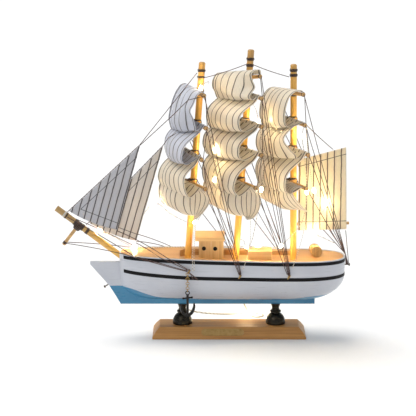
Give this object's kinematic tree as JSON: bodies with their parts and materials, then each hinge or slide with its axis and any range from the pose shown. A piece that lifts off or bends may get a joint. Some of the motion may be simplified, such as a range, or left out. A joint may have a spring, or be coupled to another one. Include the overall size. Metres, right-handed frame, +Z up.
{
  "type": "lit model sailing ship",
  "caption": "Wooden three-masted model sailing ship on a stand, with cloth sails, thread rigging and a battery string of small lights.",
  "frame": {"origin": "centre of the stand block's underside, on the surface that it stands on", "axes": "+Z up, -X towards the bow, -Y towards the port side"},
  "size_m": [0.242, 0.1673, 0.2361],
  "materials": {
    "stand_wood": "satin varnish",
    "label_brass": "brushed, blank",
    "blackened_metal": "blackened, semi-gloss",
    "steel": "plain",
    "hull_paint": "semi-gloss white paint with black lines and a blue bottom",
    "keel_paint": "semi-gloss paint, white above and blue below",
    "deck_wood": "satin pine",
    "house_wood": "satin pine",
    "black_paint": "matt black",
    "spar_wood": "varnished dowel",
    "stick_wood": "plain dowel",
    "sailcloth": "thin cotton with dark woven lines",
    "thread": "twisted dark brown thread",
    "brass": "plain",
    "black_iron": "satin black",
    "light_wire": "clear coat over copper wire",
    "light_drop": "clear resin, lit",
    "white_plastic": "moulded",
    "black_plastic": "moulded"
  },
  "bodies": {
    "ship": {"base_block": "stand_wood", "name_plate": "label_brass", "pedestal_fore": "blackened_metal", "pedestal_aft": "blackened_metal", "pedestal_screws": "steel", "hull": "hull_paint", "keel_board": "keel_paint", "deck_board": "deck_wood", "deckhouse_fore": "house_wood", "deckhouse_aft": "house_wood", "deckhouse_roof": "house_wood", "portholes": "black_paint", "hatch_block": "house_wood", "stern_barrel": "house_wood", "mast_fore": "spar_wood", "mast_main": "spar_wood", "mast_mizzen": "spar_wood", "bowsprit": "spar_wood", "dolphin_striker": "stick_wood", "fore_yards": "stick_wood", "main_yards": "stick_wood", "mizzen_yards": "stick_wood", "gaff": "stick_wood", "boom": "stick_wood", "mast_lashings": "thread", "yard_lashings": "thread", "bowsprit_lashings": "thread", "fore_sail_1": "sailcloth", "fore_sail_2": "sailcloth", "fore_sail_3": "sailcloth", "fore_sail_4": "sailcloth", "main_sail_1": "sailcloth", "main_sail_2": "sailcloth", "main_sail_3": "sailcloth", "main_sail_4": "sailcloth", "main_sail_5": "sailcloth", "mizzen_sail_1": "sailcloth", "mizzen_sail_2": "sailcloth", "mizzen_sail_3": "sailcloth", "mizzen_sail_4": "sailcloth", "jib_outer": "sailcloth", "jib_inner": "sailcloth", "spanker": "sailcloth", "screw_eyes": "brass", "hull_nails": "steel", "rigging_port": "thread", "rigging_starboard": "thread", "rigging_stays": "thread", "led_wire": "light_wire", "led_drops": "light_drop", "led_lead": "light_wire", "lead_led": "light_drop", "lead_grommet": "white_plastic", "battery_case": "white_plastic", "coin_cells": "steel", "battery_contacts": "brass"},
    "chain": {"anchor_chain": "brass"},
    "anchor": {"anchor": "black_iron"},
    "switch": {"switch_slider": "black_plastic"},
    "cover": {"battery_cover": "white_plastic"}
  },
  "joints": [
    {"name": "chain_swing", "type": "hinge", "parent": "ship", "child": "chain", "pos_m": [-0.0339, -0.0261, 0.05785], "axis": [0, 1, 0], "range_deg": [-40, 40]},
    {"name": "anchor_swing", "type": "hinge", "parent": "chain", "child": "anchor", "pos_m": [-0.0339, -0.0261, 0.0425], "axis": [0, 1, 0], "range_deg": [-30, 30]},
    {"name": "switch_slide", "type": "slide", "parent": "ship", "child": "switch", "axis": [1, 0, 0], "range_m": [0, 0.0036]},
    {"name": "cover_slide", "type": "slide", "parent": "ship", "child": "cover", "axis": [1, 0, 0], "range_m": [0, 0.03]}
  ]
}
